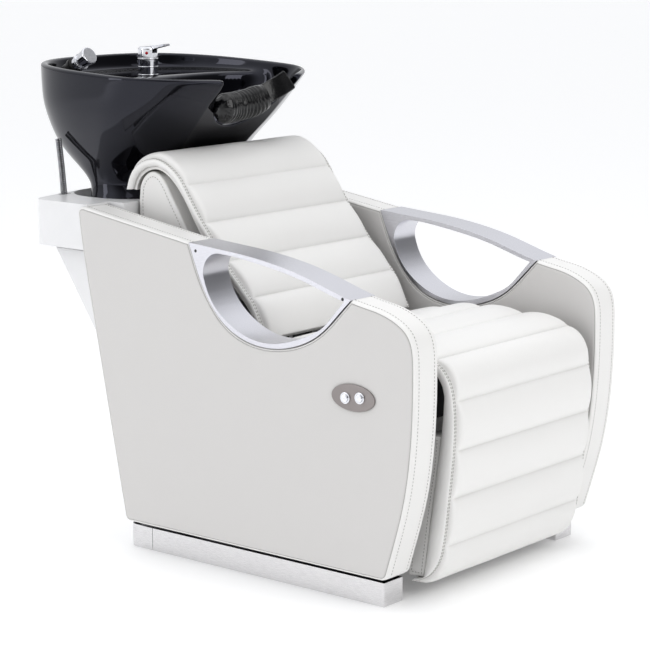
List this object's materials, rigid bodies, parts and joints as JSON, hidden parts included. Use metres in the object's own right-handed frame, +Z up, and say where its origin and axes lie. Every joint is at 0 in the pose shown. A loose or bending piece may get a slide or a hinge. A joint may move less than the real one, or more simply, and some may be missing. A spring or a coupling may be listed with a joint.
{
  "type": "shampoo backwash unit",
  "caption": "Salon backwash unit: quilted reclining seat with powered leg rest, upholstered side panels, loop armrests, and a tilting ceramic basin with neck rest, mixer and hand shower.",
  "frame": {"origin": "centre of the four floor bolts, on the floor", "axes": "+Z up, +Y from the seat towards the basin, +X across the seat to the seated client's left"},
  "size_m": [0.689, 1.1853, 1.002],
  "materials": {
    "white_vinyl": "satin vinyl with a fine grain and double topstitching",
    "black_vinyl": "glossy black vinyl, gathered",
    "black_ceramic": "gloss black glaze",
    "arm_aluminium": "brushed, satin anodised",
    "brushed_steel": "brushed",
    "chrome": "polished",
    "frame_paint": "black powder coat",
    "plywood": "plain plywood",
    "white_shell": "glossy white moulding",
    "black_plastic": "fine texture",
    "taupe_plastic": "satin taupe",
    "rubber": "matt",
    "brass": "turned",
    "braided_hose": "braided sleeve",
    "grey_plastic": "plain"
  },
  "bodies": {
    "root": {"actuator_bracket": "frame_paint", "actuator_housing": "black_plastic", "armrest_left": "arm_aluminium", "armrest_right": "arm_aluminium", "armrest_screws": "black_plastic", "backrest_board": "plywood", "backrest_core": "plywood", "backrest_cover": "white_vinyl", "backrest_pad": "white_vinyl", "backrest_rails": "frame_paint", "base_frame": "frame_paint", "basin_pedestal": "frame_paint", "button_bezels": "chrome", "control_plate": "taupe_plastic", "foot_pads": "rubber", "knee_bushes": "brass", "knee_cushion": "white_vinyl", "mains_inlet": "black_plastic", "plinth_end_left": "brushed_steel", "plinth_end_right": "brushed_steel", "plinth_left": "brushed_steel", "plinth_right": "brushed_steel", "power_supply": "black_plastic", "rear_cover": "white_shell", "rear_frame": "frame_paint", "rear_housing": "white_shell", "rear_panel_lower": "white_shell", "seat_board": "plywood", "seat_frame": "frame_paint", "seat_pad": "white_vinyl", "side_core_left": "plywood", "side_core_right": "plywood", "side_cover_left": "white_vinyl", "side_cover_right": "white_vinyl", "waste_pipe": "grey_plastic", "waste_sleeve": "rubber"},
    "leg_rest": {"knee_shaft": "brushed_steel", "knee_roller": "black_plastic", "leg_arms": "frame_paint", "leg_board": "plywood", "leg_cover": "white_vinyl", "leg_pad": "white_vinyl"},
    "actuator_rod_body": {"actuator_rod": "brushed_steel", "clevis_pin": "brushed_steel"},
    "basin": {"basin_bowl": "black_ceramic", "basin_bracket": "frame_paint", "tilt_shafts": "brushed_steel", "waste_fitting": "grey_plastic", "waste_strainer": "brushed_steel", "mixer_body": "chrome", "mixer_nut": "brass", "shower_holder": "black_plastic", "supply_hoses": "braided_hose", "hose_nuts": "chrome", "neck_rest": "black_vinyl"},
    "mixer_cap_body": {"mixer_cap": "chrome"},
    "mixer_lever_body": {"mixer_lever": "chrome"},
    "hand_shower_body": {"hand_shower": "chrome"},
    "button_up_body": {"button_up": "chrome"},
    "button_down_body": {"button_down": "chrome"}
  },
  "joints": [
    {"name": "leg_rest_lift", "type": "hinge", "parent": "root", "child": "leg_rest", "pos_m": [0, -0.47, 0.395], "axis": [-1, 0, 0], "range_deg": [0, 75], "deforming": ["knee_cushion"]},
    {"name": "actuator_slide", "type": "slide", "parent": "root", "child": "actuator_rod_body", "axis": [0, -1, 0], "range_m": [0, 0.0922]},
    {"name": "basin_tilt", "type": "hinge", "parent": "root", "child": "basin", "pos_m": [0, 0.38, 0.672], "axis": [-1, 0, 0], "range_deg": [0, 6]},
    {"name": "mixer_turn", "type": "hinge", "parent": "basin", "child": "mixer_cap_body", "pos_m": [0, 0.44, 0.972], "axis": [0, 0, 1], "range_deg": [-45, 45]},
    {"name": "mixer_lift", "type": "hinge", "parent": "mixer_cap_body", "child": "mixer_lever_body", "pos_m": [0, 0.434, 0.986], "axis": [-1, 0, 0], "range_deg": [0, 20]},
    {"name": "hand_shower_lift", "type": "slide", "parent": "basin", "child": "hand_shower_body", "axis": [0, -0.8829, 0.4695], "range_m": [0, 0.12]},
    {"name": "button_up_press", "type": "slide", "parent": "root", "child": "button_up_body", "axis": [1, 0, 0], "range_m": [0, 0.0025], "stiffness_N_per_m": 400},
    {"name": "button_down_press", "type": "slide", "parent": "root", "child": "button_down_body", "axis": [1, 0, 0], "range_m": [0, 0.0025], "stiffness_N_per_m": 400}
  ],
  "couplings": [
    {"joint": "actuator_slide", "follows": "leg_rest_lift", "m_per_rad": 0.07034}
  ]
}
